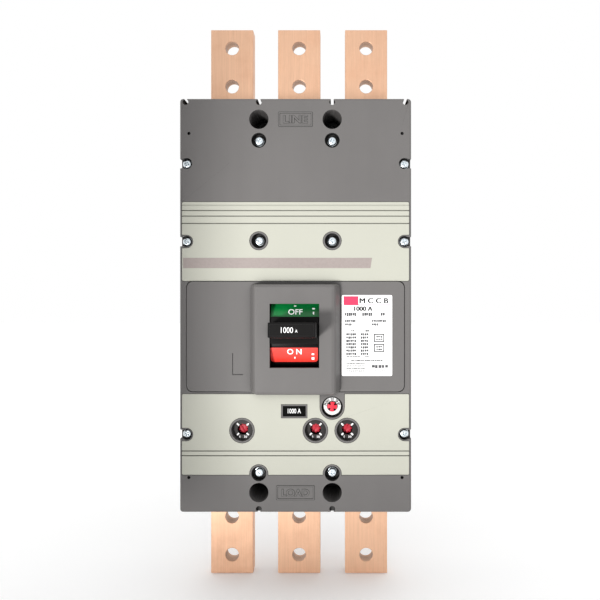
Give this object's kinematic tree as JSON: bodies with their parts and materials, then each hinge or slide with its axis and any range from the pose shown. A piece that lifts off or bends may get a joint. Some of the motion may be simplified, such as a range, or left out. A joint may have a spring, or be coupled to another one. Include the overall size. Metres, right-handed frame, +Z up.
{
  "type": "molded case breaker",
  "caption": "Molded case circuit breaker with a toggle handle in a raised window, a trip button, recessed dials and flat copper bar terminals at both ends.",
  "frame": {"origin": "centre of the flat back of the case, at half its width and height", "axes": "+Z up towards the line terminals, -Y out of the front, +X to the right seen from the front"},
  "size_m": [0.221, 0.1551, 0.5671],
  "materials": {
    "dark_moulding": "fine spark-eroded grain",
    "base_moulding": "fine spark-eroded grain",
    "cream_moulding": "satin with a fine grain",
    "copper": "brushed copper, lightly oxidised",
    "copper_braid": "woven copper braid",
    "zinc": "bright zinc plate",
    "mechanism_steel": "plain pressed steel",
    "black_moulding": "satin black",
    "red_moulding": "satin red",
    "white_moulding": "satin white",
    "label_film": "printed film",
    "insulating_moulding": "compression moulding"
  },
  "bodies": {
    "root": {"arc_chute_left": "mechanism_steel", "arc_chute_middle": "mechanism_steel", "arc_chute_right": "mechanism_steel", "base": "base_moulding", "button_collar": "white_moulding", "button_spring": "mechanism_steel", "centre_screw_lower_left": "zinc", "centre_screw_lower_right": "zinc", "centre_screw_mid_left": "zinc", "centre_screw_mid_right": "zinc", "centre_screw_upper_left": "zinc", "centre_screw_upper_right": "zinc", "cradle": "mechanism_steel", "cradle_pin": "mechanism_steel", "edge_screw_lower_left": "zinc", "edge_screw_lower_right": "zinc", "edge_screw_mid_left": "zinc", "edge_screw_mid_right": "zinc", "edge_screw_upper_left": "zinc", "edge_screw_upper_right": "zinc", "frame_plate_left": "mechanism_steel", "frame_plate_right": "mechanism_steel", "heater_blade_left": "copper", "heater_blade_middle": "copper", "heater_blade_right": "copper", "line_bar_left": "copper", "line_bar_middle": "copper", "line_bar_right": "copper", "load_bar_left": "copper", "load_bar_middle": "copper", "load_bar_right": "copper", "lower_trim": "cream_moulding", "main_cover": "dark_moulding", "mid_panel": "dark_moulding", "rating_label": "label_film", "rating_plate": "black_moulding", "shunt_left": "copper_braid", "shunt_middle": "copper_braid", "shunt_right": "copper_braid", "trip_unit_case": "insulating_moulding", "upper_trim": "cream_moulding"},
    "handle": {"handle": "black_moulding", "handle_shutter": "black_moulding", "handle_yoke": "mechanism_steel", "main_spring_left": "mechanism_steel", "main_spring_right": "mechanism_steel"},
    "crossbar": {"crossbar": "insulating_moulding", "contact_arm_left": "copper", "contact_arm_middle": "copper", "contact_arm_right": "copper"},
    "upper_link": {"upper_link": "mechanism_steel", "toggle_pin": "mechanism_steel"},
    "lower_link": {"lower_link": "mechanism_steel"},
    "trip_button": {"trip_button": "red_moulding"},
    "trip_bar": {"trip_bar": "insulating_moulding"},
    "latch": {"latch": "mechanism_steel"},
    "current_dial": {"current_dial": "black_moulding"},
    "delay_dial": {"delay_dial": "black_moulding"},
    "instant_dial": {"instant_dial": "black_moulding"}
  },
  "joints": [
    {"name": "handle_hinge", "type": "hinge", "parent": "root", "child": "handle", "pos_m": [0, -0.06, -0.02775], "axis": [-1, 0, 0], "range_deg": [-21.6, 12], "deforming": ["main_spring_left", "main_spring_right"]},
    {"name": "crossbar_hinge", "type": "hinge", "parent": "root", "child": "crossbar", "pos_m": [0, -0.036, -0.005], "axis": [-1, 0, 0], "range_deg": [-12.85, 7.14]},
    {"name": "upper_link_hinge", "type": "hinge", "parent": "root", "child": "upper_link", "pos_m": [0, -0.09, -0.003], "axis": [-1, 0, 0], "range_deg": [-8.65, 15.56]},
    {"name": "lower_link_hinge", "type": "hinge", "parent": "crossbar", "child": "lower_link", "pos_m": [0, -0.05014, 0.01943], "axis": [-1, 0, 0], "range_deg": [-1.85, 1.03]},
    {"name": "trip_button_slide", "type": "slide", "parent": "root", "child": "trip_button", "axis": [0, 1, 0], "range_m": [0, 0.003], "stiffness_N_per_m": 600, "springref_m": -0.003, "deforming": ["button_spring"]},
    {"name": "trip_bar_hinge", "type": "hinge", "parent": "root", "child": "trip_bar", "pos_m": [0, -0.078, -0.108], "axis": [-1, 0, 0], "range_deg": [0, 15.7]},
    {"name": "latch_hinge", "type": "hinge", "parent": "root", "child": "latch", "pos_m": [0, -0.062, -0.0835], "axis": [1, 0, 0], "range_deg": [0, 6.1]},
    {"name": "current_dial_turn", "type": "hinge", "parent": "root", "child": "current_dial", "pos_m": [-0.051, -0.094, -0.1193], "axis": [0, 1, 0], "range_deg": [0, 270]},
    {"name": "delay_dial_turn", "type": "hinge", "parent": "root", "child": "delay_dial", "pos_m": [0.019, -0.094, -0.1193], "axis": [0, 1, 0], "range_deg": [0, 270]},
    {"name": "instant_dial_turn", "type": "hinge", "parent": "root", "child": "instant_dial", "pos_m": [0.0494, -0.094, -0.1193], "axis": [0, 1, 0], "range_deg": [0, 270]}
  ],
  "couplings": [
    {"joint": "crossbar_hinge", "follows": "handle_hinge", "ratio": 0.5946},
    {"joint": "upper_link_hinge", "follows": "handle_hinge", "ratio": -0.72},
    {"joint": "lower_link_hinge", "follows": "handle_hinge", "ratio": 0.0854},
    {"joint": "trip_bar_hinge", "follows": "trip_button_slide", "rad_per_m": 90.9},
    {"joint": "latch_hinge", "follows": "trip_button_slide", "rad_per_m": 35}
  ]
}
